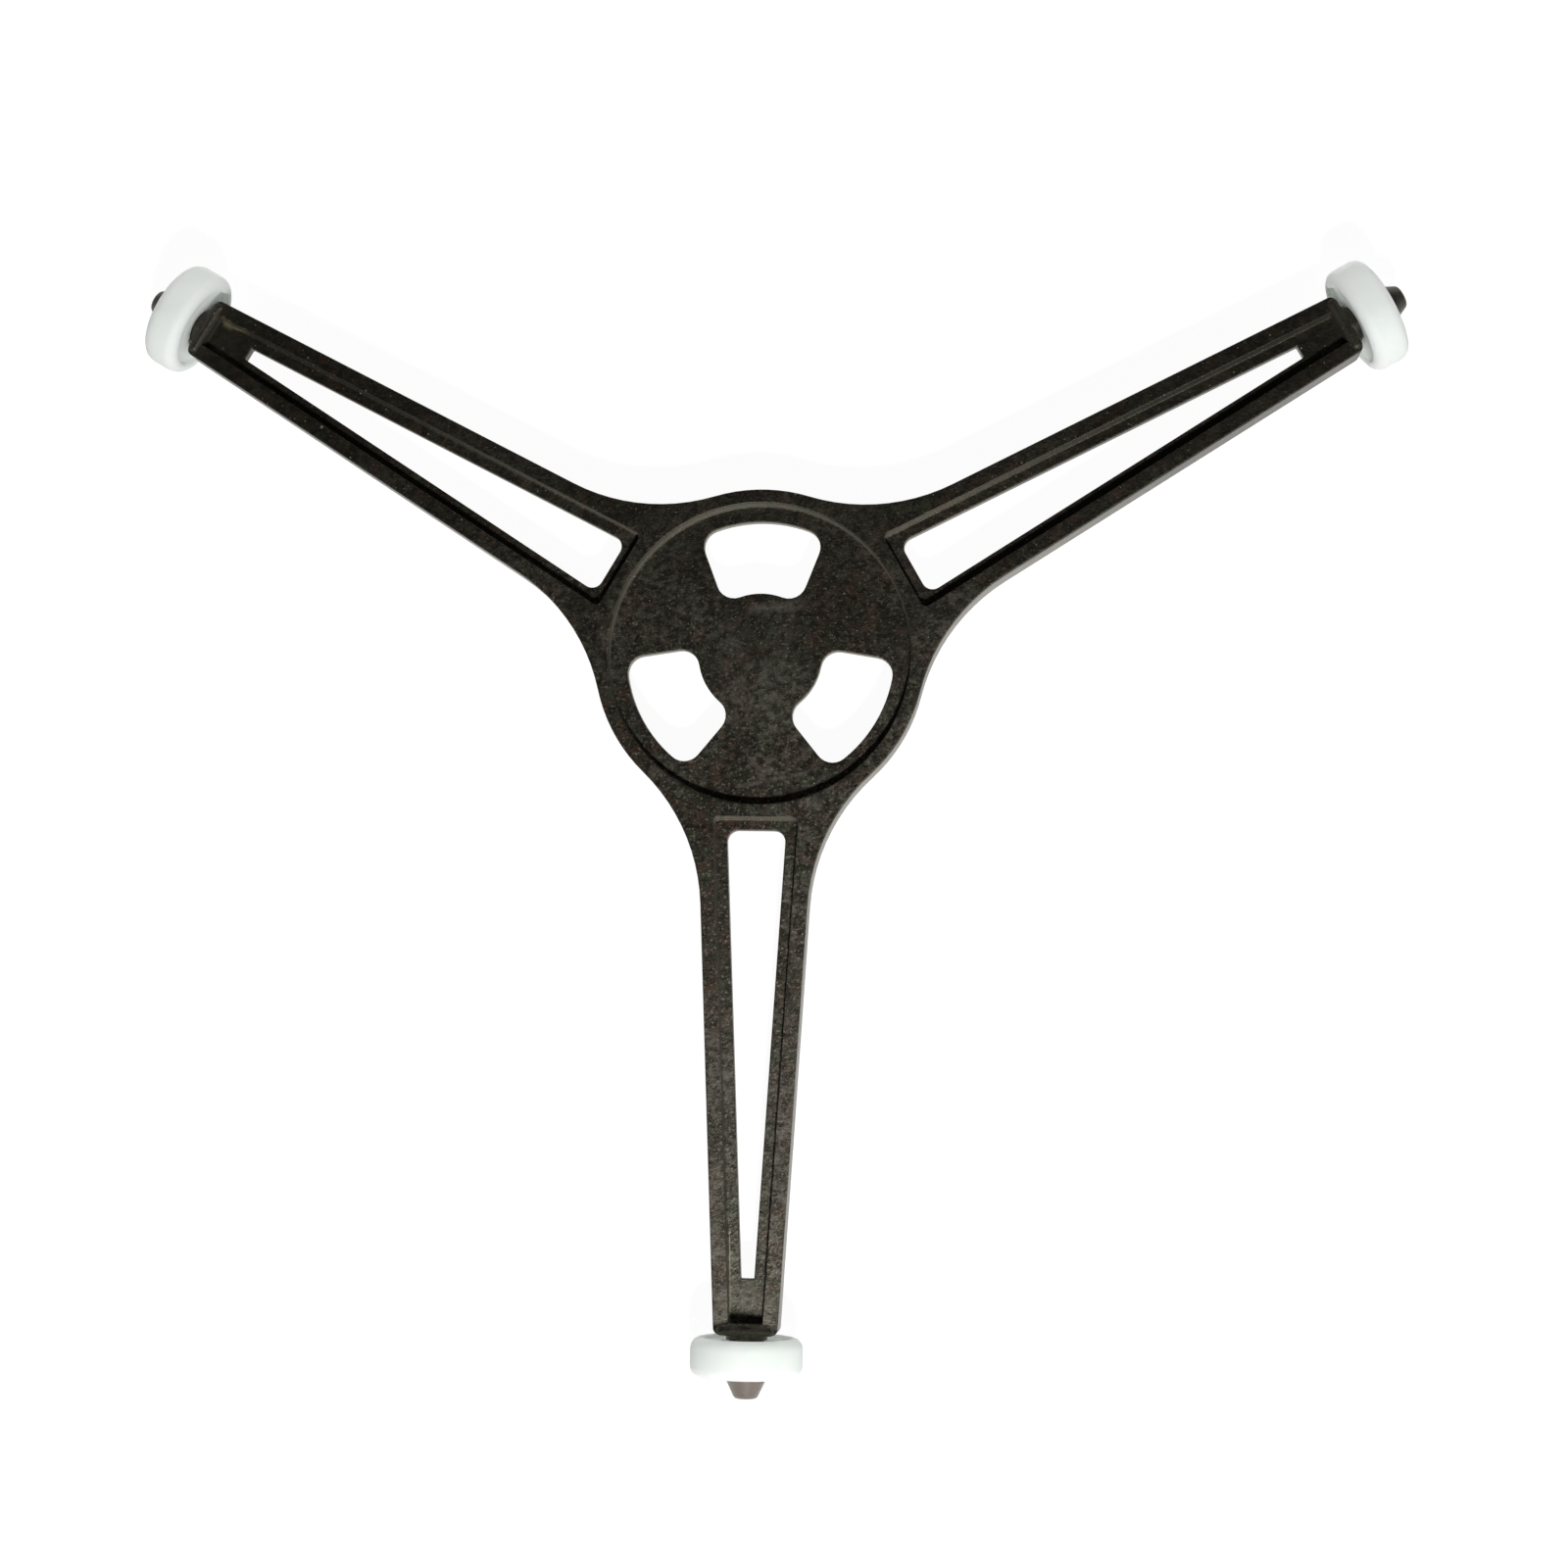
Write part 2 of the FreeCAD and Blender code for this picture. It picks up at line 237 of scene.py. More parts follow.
class MouldingSizes(bpy.types.PropertyGroup):
    """Sizes of the three-armed moulding."""

    bar_rise: length("Bar rise", "Height of an end bar above the rims", BAR_RISE)
    frame_height: length("Frame height", "Height of the rims", 2 * (SPIDER_HIGH.z - BAR_RISE))
    floor_thickness: length("Floor thickness", "Thickness of the floor between the rims", 1.6 * MM)
    rim_width: length("Rim width", "Width of the rims", 2.2 * MM)
    recess_lean: length("Recess lean", "How far the hub's recess narrows towards the floor", 0.06 * MM)
    pocket_lean: length("Pocket lean", "How far a pocket's wall leans in towards the floor", 0.08 * MM)
    hub_rim: length("Hub rim", "Width of the rim round the hub's recess", 2.0 * MM)
    outer_round: length("Outer round", "Radius of the upper outer edge", 0.25 * MM)
    recess_round: length("Recess round", "Radius of the upper edge of the hub's recess", 0.2 * MM)
    rim_round: length("Rim round", "Radius of the upper edges of the pockets", 0.12 * MM)
    floor_round: length("Floor round", "Radius where a wall meets the floor", 0.3 * MM)
    hole_round: length("Hole round", "Radius of the upper edges of slots and windows", 0.2 * MM)
    lower_round: length("Lower round", "Radius of the edges below", 0.12 * MM)
    hub_radius: length("Hub radius", "Outer radius of the hub's ring", 24 * MM)
    hub_web: length("Hub web", "Wall between the hub's recess and an arm's pocket", 1.8 * MM)
    junction_radius: length("Junction radius", "Radius between the hub and an arm", 28 * MM)
    window_margin: length("Window margin", "Floor between a window and the hub's wall", 2.5 * MM)
    window_land: length("Window land", "Floor between a window and the boss", 2 * MM)
    window_width: length("Window width", "Width of a window at its stated radius", 16.7 * MM)
    window_width_radius: length("Window width radius", "Radius at which the width is stated", 15 * MM)
    window_flare: FloatProperty(
        name="Window flare", description="Angle of a window's sides",
        default=math.radians(20.9), subtype="ANGLE",
    )
    window_corner: length("Window corner", "Corner radius of a window", 2.6 * MM)
    socket_radius: length("Socket radius", "Radius of the drive socket", SOCKET_RADIUS)
    socket_wall: length("Socket wall", "Wall of the boss round the socket", 3.4 * MM)
    socket_cap: length("Socket cap", "Floor left above the socket", 1.5 * MM)
    socket_chamfer: length("Socket chamfer", "Chamfer at the socket's mouth", 0.5 * MM)
    boss_bottom: length("Boss depth", "Depth of the boss below the axles", -SPIDER_LOW.z)
    slot_root_width: length("Slot root width", "Width of a slot by the hub", 8.55 * MM)
    slot_tip_width: length("Slot tip width", "Width of a slot by the end bar", 1.91 * MM)
    slot_corner: length("Slot corner", "Corner radius of a slot by the hub", 1.6 * MM)
    slot_tip_corner: length("Slot tip corner", "Corner radius of a slot's tip", 0.2 * MM)
    ledge_width: length("Ledge width", "Floor left along a slot", 1.8 * MM)
    tip_floor: length("Tip floor", "Floor between a slot and the end bar", 6.2 * MM)
    pocket_corner: length("Pocket corner", "Corner radius of a pocket by the hub", 0.9 * MM)
    bar_width: length("Bar width", "Width of an end bar", 1.7 * MM)
    bar_round: length("Bar round", "Radius of an end bar's edges", 0.8 * MM)
    bar_inset: length("Bar inset", "How far a bar stops short of the arm's sides", 0.35 * MM)
    bar_corner: length("Bar corner", "Corner radius of a bar seen from above", 0.83 * MM)
    arm_corner: length("Arm corner", "Corner radius of an arm's end", 1.0 * MM)
    arm_setback: length("Arm setback", "How far an arm's end stands behind its bar", 0.1 * MM)


class AxleSizes(bpy.types.PropertyGroup):
    """Sizes of a stub axle."""

    radius: length("Axle radius", "Radius of the journal", 2.5 * MM)
    collar_shoulder: length("Collar shoulder", "Step from the journal to the collar", 0.45 * MM)
    collar_length: length("Collar length", "Length of the collar past the arm", 0.65 * MM)
    barb_catch: length("Barb catch", "Step from the roller's bore to the barb", 0.4 * MM)
    barb_land: length("Barb land", "Straight length of the barb", 0.5 * MM)
    barb_tip_radius: length("Barb tip radius", "Radius of the barb's tip", 1.6 * MM)
    tip_reach: length("Tip reach", "Distance of the barb's tip from the hub axis", -SPIDER_LOW.y)
    edge_round: length("Edge round", "Radius of the axle's edges", 0.12 * MM)
    tip_round: length("Tip round", "Radius of the barb's tip edge", 0.7 * MM)


class RollerSizes(bpy.types.PropertyGroup):
    """Sizes of a roller."""

    radius: length("Roller radius", "Radius of the tread", (ROLLER_HIGH.z - ROLLER_LOW.z) / 2)
    width: length("Roller width", "Width over the tread", ROLLER_HIGH.y - ROLLER_LOW.y)
    tread_round: length("Tread round", "Radius of the tread's edges", 1.5 * MM)
    dish_depth: length("Dish depth", "Depth of the dish on both sides", 0.6 * MM)
    face_land: length("Face land", "Flat ring between the dish and the tread's edge", 0.4 * MM)
    dish_round: length("Dish round", "Radius at the foot of the dish", 0.3 * MM)
    lip_round: length("Lip round", "Radius of the dish's upper edge", 0.25 * MM)
    bore_round: length("Bore round", "Radius of the bore's edges", 0.15 * MM)
    bore_clearance: length("Bore clearance", "Room round the journal", 0.08 * MM)
    end_play: length("End play", "Room along the journal", 0.3 * MM)


class FinishColours(bpy.types.PropertyGroup):
    """Colours of the two plastics."""

    frame_dark: colour("Frame dark", "Darkest tone of the frame's plastic", (0.0020, 0.0015, 0.0009))
    frame_middle: colour("Frame middle", "Main tone of the frame's plastic", (0.0165, 0.0155, 0.0100))
    frame_light: colour("Frame light", "Lightest tone of the frame's mottling", (0.130, 0.120, 0.097))
    frame_red: colour("Frame red", "Reddish tint in the frame's plastic", (0.0420, 0.0170, 0.0105))
    frame_green: colour("Frame green", "Greenish tint in the frame's plastic", (0.0160, 0.0340, 0.0140))
    frame_dust: colour("Frame dust", "Dull film on the frame", (0.094, 0.086, 0.074))
    frame_ledge: colour("Frame ledge", "Greener film on the first arm's ledges", (0.078, 0.088, 0.069))
    frame_speck: colour("Frame speck", "Pale mineral specks", (0.22, 0.20, 0.16))
    # paler upright walls, partly scuff and partly painted light, lightest where they face the main lamp
    frame_wall_scuff_and_light: colour("Frame wall", "Scuffed upright walls of the frame", (0.200, 0.187, 0.153))
    # painted light: the end of the first axle, which faces the main lamp, painted pale
    frame_lit_axle_end: colour("Frame lit axle end", "Rubbed end of the first axle", (0.15, 0.125, 0.112))
    frame_olive: colour("Frame olive", "Dust caught in a pocket's corner", (0.095, 0.090, 0.050))
    frame_scratch: colour("Frame scratch", "Pale scratch along a pocket's wall", (0.30, 0.27, 0.18))
    roller_white: colour("Roller white", "Main tone of the rollers", (0.872, 0.966, 0.872))
    roller_cool: colour("Roller cool", "Cool tone of the rollers", (0.838, 0.946, 0.850))


class StageSettings(bpy.types.PropertyGroup):
    """Camera, lamps and backdrop."""

    camera_place: FloatVectorProperty(
        name="Camera place", description="Where the camera stands", default=(0.03785, -0.05904, 0.40195),
        size=3, precision=5, subtype="TRANSLATION", unit="LENGTH",
    )
    camera_turn: FloatVectorProperty(
        name="Camera turn", description="How the camera is turned", default=(0.1012, 0.0826, 0.0192),
        size=3, precision=5, subtype="EULER", unit="ROTATION",
    )
    camera_lens: FloatProperty(
        name="Camera lens", description="Focal length in millimetres", default=64.4, min=1.0, unit="CAMERA"
    )
    backdrop_radius: length("Backdrop radius", "Radius of the round floor", 1.4)
    backdrop_height: length("Backdrop height", "Height of the wall round the floor", 0.3)
    backdrop_round: length("Backdrop round", "Radius between floor and wall", 0.2)
    floor_colour: colour("Floor colour", "Colour of the floor and wall", (0.82, 0.82, 0.82))
    key_power: power("Key power", "Power of the main lamp", 5.4)
    fill_power: power("Fill power", "Power of the low lamp behind", 4.2)
    side_power: power("Side power", "Power of the low lamp in front", 0.35)
    world_strength: FloatProperty(
        name="World strength", description="Light from all round", default=0.02, min=0.0
    )


class RollerRingSettings(bpy.types.PropertyGroup):
    """All settings of the roller ring."""

    moulding: PointerProperty(type=MouldingSizes, name="Moulding", description="Sizes of the moulding")
    axle: PointerProperty(type=AxleSizes, name="Axle", description="Sizes of the stub axles")
    roller: PointerProperty(type=RollerSizes, name="Roller", description="Sizes of the rollers")
    finish: PointerProperty(type=FinishColours, name="Finish", description="Colours of the plastics")
    stage: PointerProperty(type=StageSettings, name="Stage", description="Camera, lamps and backdrop")


def worked_out(settings):
    """Heights and distances that follow from the settings."""
    s = settings.moulding
    axle = settings.axle
    roller = settings.roller
    p = SimpleNamespace()
    p.rim_top = s.frame_height / 2
    p.floor_top = s.floor_thickness / 2
    p.bar_top = p.rim_top + s.bar_rise
    p.leg_width = s.rim_width + s.ledge_width
    p.recess_radius = s.hub_radius - s.hub_rim
    p.boss_radius = s.socket_radius + s.socket_wall
    p.web_half = roller.width / 2 - roller.dish_depth
    p.bore_radius = axle.radius + roller.bore_clearance
    p.collar_end = TRACK_RADIUS - p.web_half - roller.end_play
    p.barb_start = TRACK_RADIUS + p.web_half + roller.end_play
    p.arm_end = p.collar_end - axle.collar_length
    p.bar_inner = p.arm_end - s.bar_width
    p.bar_middle = p.arm_end - s.bar_width / 2
    p.pocket_start = p.recess_radius + s.hub_web
    p.slot_start = p.pocket_start + s.ledge_width
    p.slot_end = p.bar_inner - s.tip_floor
    p.taper = (s.slot_tip_width - s.slot_root_width) / 2 / (p.slot_end - p.slot_start)
    p.stretch = math.hypot(1.0, p.taper)
    p.slot_root_half = s.slot_root_width / 2
    return p


def half_width(p, radius, wall):
    """Half the width of an arm's slot at a distance from the hub axis, with a wall added to its side."""
    return p.slot_root_half + p.taper * (radius - p.slot_start) + wall * p.stretch


def arm_corners(p, start, end, wall):
    """Corners of a stretch of an arm along +X, anticlockwise."""
    near = half_width(p, start, wall)
    far = half_width(p, end, wall)
    return [Vector((start, -near)), Vector((end, -far)), Vector((end, far)), Vector((start, near))]


def turned(points, angle):
    """Plan points turned about the hub axis."""
    turn = Matrix.Rotation(angle, 2)
    return [turn @ point for point in points]


def arc(centre, start, end, step):
    """Points from start to end round a centre, the shorter way."""
    spoke = start - centre
    other = end - centre
    sweep = math.atan2(spoke.x * other.y - spoke.y * other.x, spoke.dot(other))
    count = max(1, math.ceil(abs(sweep) / step))
    return [centre + Matrix.Rotation(sweep * index / count, 2) @ spoke for index in range(count + 1)]


def circle(radius, step=PLAN_STEP):
    """Points of a circle round the hub axis, anticlockwise."""
    count = math.ceil(math.tau / step)
    return [Vector((radius, 0)) @ Matrix.Rotation(-math.tau * index / count, 2) for index in range(count)]


def rounded_corner(last, corner, after, radius, step):
    """Points of one corner, rounded by a radius."""
    if radius <= 0:
        return [corner]
    to_last = (last - corner).normalized()
    to_next = (after - corner).normalized()
    half = to_last.angle(to_next) / 2
    tangent = radius / math.tan(half)
    centre = corner + (to_last + to_next).normalized() * (radius / math.sin(half))
    return arc(centre, corner + to_last * tangent, corner + to_next * tangent, step)


def rounded_loop(corners, radii, step=EDGE_STEP):
    """A closed loop with each corner rounded by its own radius."""
    count = len(corners)
    points = []
    for index in range(count):
        after = corners[(index + 1) % count]
        points.extend(rounded_corner(corners[index - 1], corners[index], after, radii[index], step))
    return points


def section(corners, radii, step=EDGE_STEP):
    """(offset, height) pairs of an edge profile. The first and last corners only give its direction."""
    points = []
    for index in range(1, len(corners) - 1):
        places = [Vector(corner) for corner in corners[index - 1:index + 2]]
        points.extend(rounded_corner(*places, radii[index - 1], step))
    return [tuple(point) for point in points]


def without_doubles(points):
    """A closed loop without points that lie on each other."""
    kept = []
    for point in points:
        if not kept or (point - kept[-1]).length > SAME_POINT:
            kept.append(point)
    if (kept[0] - kept[-1]).length < SAME_POINT:
        kept.pop()
    return kept


def grown(points, distance):
    """An anticlockwise loop moved outwards by a distance."""
    count = len(points)
    moved = []
    for index, point in enumerate(points):
        before = (point - points[index - 1]).normalized()
        after = (points[(index + 1) % count] - point).normalized()
        normal = Vector((before.y, -before.x))
        mitre = (normal + Vector((after.y, -after.x))).normalized()
        moved.append(point + mitre * (distance / mitre.dot(normal)))
    return moved


def swept(bm, loop, profile):
    """Walls along a loop with an edge profile. Returns the first and the last ring of vertices."""
    rings = []
    for offset, height in profile:
        rings.append([bm.verts.new((point.x, point.y, height)) for point in grown(loop, offset)])
    count = len(loop)
    for upper, lower in zip(rings, rings[1:]):
        for index in range(count):
            after = (index + 1) % count
            bm.faces.new((upper[index], upper[after], lower[after], lower[index]))
    return rings[0], rings[-1]


def filled(bm, outer, holes=()):
    """Flat faces inside a ring of vertices, with holes left open."""
    rings = [outer, *holes]
    vertices = [vertex for ring in rings for vertex in ring]
    for triangle in tessellate_polygon([[vertex.co for vertex in ring] for ring in rings]):
        bm.faces.new([vertices[index] for index in triangle])


def outline_loop(s, p):
    """Outline of the hub and arms seen from above."""
    normal = Vector((-p.taper, 1)) / p.stretch
    along = Vector((1, p.taper)) / p.stretch
    side = half_width(p, 0.0, p.leg_width) / p.stretch
    reach = math.sqrt((s.hub_radius + s.junction_radius) ** 2 - (side + s.junction_radius) ** 2)
    centre = normal * (side + s.junction_radius) + along * reach
    on_hub = centre * (s.hub_radius / (s.hub_radius + s.junction_radius))
    on_side = centre - normal * s.junction_radius
    flip = Matrix(((1, 0), (0, -1)))
    end = arm_corners(p, p.slot_start, p.arm_end - s.arm_setback, p.leg_width)
    arm = arc(flip @ centre, flip @ on_hub, flip @ on_side, PLAN_STEP)
    for index in (1, 2):
        arm.extend(rounded_corner(*end[index - 1:index + 2], s.arm_corner, EDGE_STEP))
    arm.extend(arc(centre, on_side, on_hub, PLAN_STEP))
    next_hub = Matrix.Rotation(ARM_STEP, 2) @ flip @ on_hub
    arm.extend(arc(Vector((0, 0)), on_hub, next_hub, PLAN_STEP))
    points = []
    for angle in ARM_ANGLES:
        points.extend(turned(arm, angle))
    return without_doubles(points)


def pocket_loop(s, p):
    """Outline of an arm's pocket along +X, which ends inside the end bar."""
    corners = arm_corners(p, p.pocket_start, p.bar_middle - s.rim_round, s.ledge_width)
    return rounded_loop(corners, [s.pocket_corner, 0.0, 0.0, s.pocket_corner])


def slot_loop(s, p):
    """Outline of an arm's slot along +X."""
    corners = arm_corners(p, p.slot_start, p.slot_end, 0.0)
    return rounded_loop(corners, [s.slot_corner, s.slot_tip_corner, s.slot_tip_corner, s.slot_corner])


def window_loop(s, p):
    """Outline of a window along +X: two arcs round the hub axis, two flaring sides and rounded corners."""
    inner = p.boss_radius + s.window_land
    outer = p.recess_radius - s.window_margin
    slope = math.tan(s.window_flare)
    start = s.window_width / 2 - slope * s.window_width_radius
    corner = min(s.window_corner, (outer - inner) * CORNER_SHARE)
    lean = math.hypot(1.0, slope)

    def corner_centre(ring):
        """Centre of a corner round that touches the side, at that distance from the hub axis."""
        offset = start - corner * lean
        a = 1 + slope ** 2
        b = 2 * slope * offset
        c = offset ** 2 - ring ** 2
        along = (-b + math.sqrt(b ** 2 - 4 * a * c)) / (2 * a)
        return Vector((along, slope * along + offset))

    to_side = Vector((-slope, 1)) / lean * corner
    near = corner_centre(inner + corner)
    far = corner_centre(outer - corner)
    half = arc(far, far.normalized() * outer, far + to_side, EDGE_STEP)
    half.extend(arc(near, near + to_side, near.normalized() * inner, EDGE_STEP))
    half.extend(arc(Vector((0, 0)), near.normalized() * inner, Vector((inner, 0)), PLAN_STEP))
    mirrored = [Vector((point.x, -point.y)) for point in reversed(half)]
    top = arc(Vector((0, 0)), Vector((outer, 0)), far.normalized() * outer, PLAN_STEP)
    bottom = arc(Vector((0, 0)), mirrored[-1], Vector((outer, 0)), PLAN_STEP)
    return without_doubles(top + half + mirrored + bottom)


def plate_mesh(s, p):
    """The moulding without end bars and axles: rims, floor, recess, pockets, slots, windows and boss."""
    low = -p.rim_top
    under = -p.floor_top
    bottom = -s.boss_bottom
    outer_edge = section(
        [(-REACH, p.rim_top), (0, p.rim_top), (0, low), (-REACH, low)], [s.outer_round, s.lower_round]
    )
    recess_wall, pocket_wall = [
        section(
            [(REACH, p.rim_top), (0, p.rim_top), (-lean, p.floor_top), (-REACH, p.floor_top)],
            [edge_round, s.floor_round],
        )
        for lean, edge_round in ((s.recess_lean, s.recess_round), (s.pocket_lean, s.rim_round))
    ]
    lower_wall = section(
        [(-REACH, under), (-s.recess_lean, under), (0, low), (REACH, low)], [s.floor_round, s.lower_round]
    )
    hole_edge = section(
        [(REACH, p.floor_top), (0, p.floor_top), (0, under), (REACH, under)], [s.hole_round, s.lower_round]
    )
    boss_edge = section(
        [(REACH, under), (0, under), (0, bottom), (-REACH, bottom)], [s.floor_round, s.lower_round]
    )
    socket_top = p.floor_top - s.socket_cap
    socket_wall = [(s.socket_chamfer, bottom), (0, bottom + s.socket_chamfer), (0, socket_top)]

    bm = bmesh.new()
    recess = circle(p.recess_radius)
    pocket = pocket_loop(s, p)
    slot = slot_loop(s, p)
    window = window_loop(s, p)
    outer_top, outer_low = swept(bm, outline_loop(s, p), outer_edge)
    top_ring, floor_ring = swept(bm, recess, recess_wall)
    top_holes = [top_ring]
    under_ring, low_ring = swept(bm, recess, lower_wall)
    low_holes = [low_ring]
    window_tops = []
    window_unders = []
    for angle in ARM_ANGLES:
        pocket_top, pocket_floor = swept(bm, turned(pocket, angle), pocket_wall)
        pocket_under, pocket_low = swept(bm, turned(pocket, angle), lower_wall)
        slot_top, slot_under = swept(bm, turned(slot, angle), hole_edge)
        filled(bm, pocket_floor, [slot_top])
        filled(bm, pocket_under, [slot_under])
        top_holes.append(pocket_top)
        low_holes.append(pocket_low)
        window_top, window_under = swept(bm, turned(window, angle + ARM_STEP / 2), hole_edge)
        window_tops.append(window_top)
        window_unders.append(window_under)
    boss_root, boss_end = swept(bm, circle(p.boss_radius), boss_edge)
    mouth, socket_end = swept(bm, circle(s.socket_radius), socket_wall)
    filled(bm, outer_top, top_holes)
    filled(bm, outer_low, low_holes)
    filled(bm, floor_ring, window_tops)
    filled(bm, under_ring, [*window_unders, boss_root])
    filled(bm, boss_end, [mouth])
    filled(bm, socket_end)
    return closed_mesh(bm, "spider_plate")


def end_bar_mesh(s, p):
    """Rounded bar across the end of an arm along +X."""
    corners = arm_corners(p, p.bar_inner, p.arm_end, p.leg_width - s.bar_inset)
    loop = rounded_loop(corners, [s.bar_corner] * len(corners))
    profile = section(
        [(-REACH, p.bar_top), (0, p.bar_top), (0, -p.bar_top), (-REACH, -p.bar_top)], [s.bar_round] * 2
    )
    bm = bmesh.new()
    top, low = swept(bm, loop, profile)
    filled(bm, top)
    filled(bm, low)
    return closed_mesh(bm, "end_bar")


def closed_mesh(bm, name):
    """A mesh with outward normals from a closed bmesh."""
    loose = [edge for edge in bm.edges if len(edge.link_faces) != 2]
    if loose:
        raise RuntimeError(f"{name} is open at {len(loose)} edges")
    bmesh.ops.recalc_face_normals(bm, faces=bm.faces)
    mesh = bpy.data.meshes.new(name)
    bm.to_mesh(mesh)
    bm.free()
    return mesh


def new_object(name, data):
    """An object in the scene."""
    made = bpy.data.objects.new(name, data)
    bpy.context.scene.collection.objects.link(made)
    return made


def profile_object(name, corners, closed):
    """Half section of a turned piece: (along, radius, corner round) for each corner."""
    count = len(corners)
    edges = [(index, (index + 1) % count) for index in range(count if closed else count - 1)]
    mesh = bpy.data.meshes.new(name)
    mesh.from_pydata([(along, radius, 0.0) for along, radius, _ in corners], edges, [])
    rounds = mesh.attributes.new(ROUND_ATTRIBUTE, "FLOAT", "POINT")
    rounds.data.foreach_set("value", [corner_round for _, _, corner_round in corners])
    return new_object(name, mesh)


def axle_profile(settings, p):
    """Half section of a collar, journal and snap barb."""
    axle = settings.axle
    collar = axle.radius + axle.collar_shoulder
    barb = p.bore_radius + axle.barb_catch
    edge = axle.edge_round
    return [
        (p.bar_middle, 0.0, 0.0),
        (p.bar_middle, collar, 0.0),
        (p.collar_end, collar, edge),
        (p.collar_end, axle.radius, edge),
        (p.barb_start, axle.radius, edge),
        (p.barb_start, barb, edge),
        (p.barb_start + axle.barb_land, barb, edge),
        (axle.tip_reach, axle.barb_tip_radius, axle.tip_round),
        (axle.tip_reach, 0.0, 0.0),
    ]


def roller_profile(settings, p):
    """Half section of a roller, with a rounded tread and a dish on both sides."""
    roller = settings.roller
    half = roller.width / 2
    dish = roller.radius - roller.tread_round - roller.face_land
    side = [
        (p.web_half, p.bore_radius, roller.bore_round),
        (p.web_half, dish, roller.dish_round),
        (half, dish, roller.lip_round),
        (half, roller.radius, roller.tread_round),
    ]
    near = [(TRACK_RADIUS - offset, radius, corner) for offset, radius, corner in side]
    far = [(TRACK_RADIUS + offset, radius, corner) for offset, radius, corner in reversed(side)]
    return near + far


class NodeWriter:
    """Adds nodes to a tree and links their sockets."""

    def __init__(self, tree):
        self.tree = tree

    def add(self, kind, inputs=None, **settings):
        """A new node. An input is a value, a socket or a node, whose first output is then taken."""
        node = self.tree.nodes.new(kind)
        for name, value in settings.items():
            setattr(node, name, value)
        for name, value in (inputs or {}).items():
            self.join(value, node.inputs[name])
        return node

    def join(self, value, socket):
        """Sets a socket to a value, or links it."""
        if isinstance(value, bpy.types.Node):
            value = next(output for output in value.outputs if output.enabled)
        if isinstance(value, bpy.types.NodeSocket):
            self.tree.links.new(value, socket)
        else:
            socket.default_value = value

    def math(self, operation, first, second=0.0):
        """Result of one sum."""
        return self.add("ShaderNodeMath", {0: first, 1: second}, operation=operation).outputs[0]


def geometry_tree(name, inputs):
    """A Geometry Nodes tree with named inputs. Returns its writer and the input sockets."""
    tree = bpy.data.node_groups.new(name, "GeometryNodeTree")
    for label, kind in inputs:
        tree.interface.new_socket(label, in_out="INPUT", socket_type=kind)
    tree.interface.new_socket("Geometry", in_out="OUTPUT", socket_type="NodeSocketGeometry")
    writer = NodeWriter(tree)
    return writer, writer.add("NodeGroupInput").outputs


def finish_tree(writer, geometry, material, sharp_angle):
    """Ends a tree: smooth faces, sharp edges above an angle, real geometry and its material."""
    smooth = writer.add("GeometryNodeSetShadeSmooth", {"Geometry": geometry, "Shade Smooth": True})
    angle = writer.add("GeometryNodeInputMeshEdgeAngle").outputs["Unsigned Angle"]
    steep = writer.math("GREATER_THAN", angle, sharp_angle)
    sharp = writer.add(
        "GeometryNodeSetShadeSmooth",
        {"Geometry": smooth, "Selection": steep, "Shade Smooth": False},
        domain="EDGE",
    )
    real = writer.add("GeometryNodeRealizeInstances", {"Geometry": sharp})
    coated = writer.add("GeometryNodeSetMaterial", {"Geometry": real, "Material": material})
    writer.add("NodeGroupOutput", {"Geometry": coated})


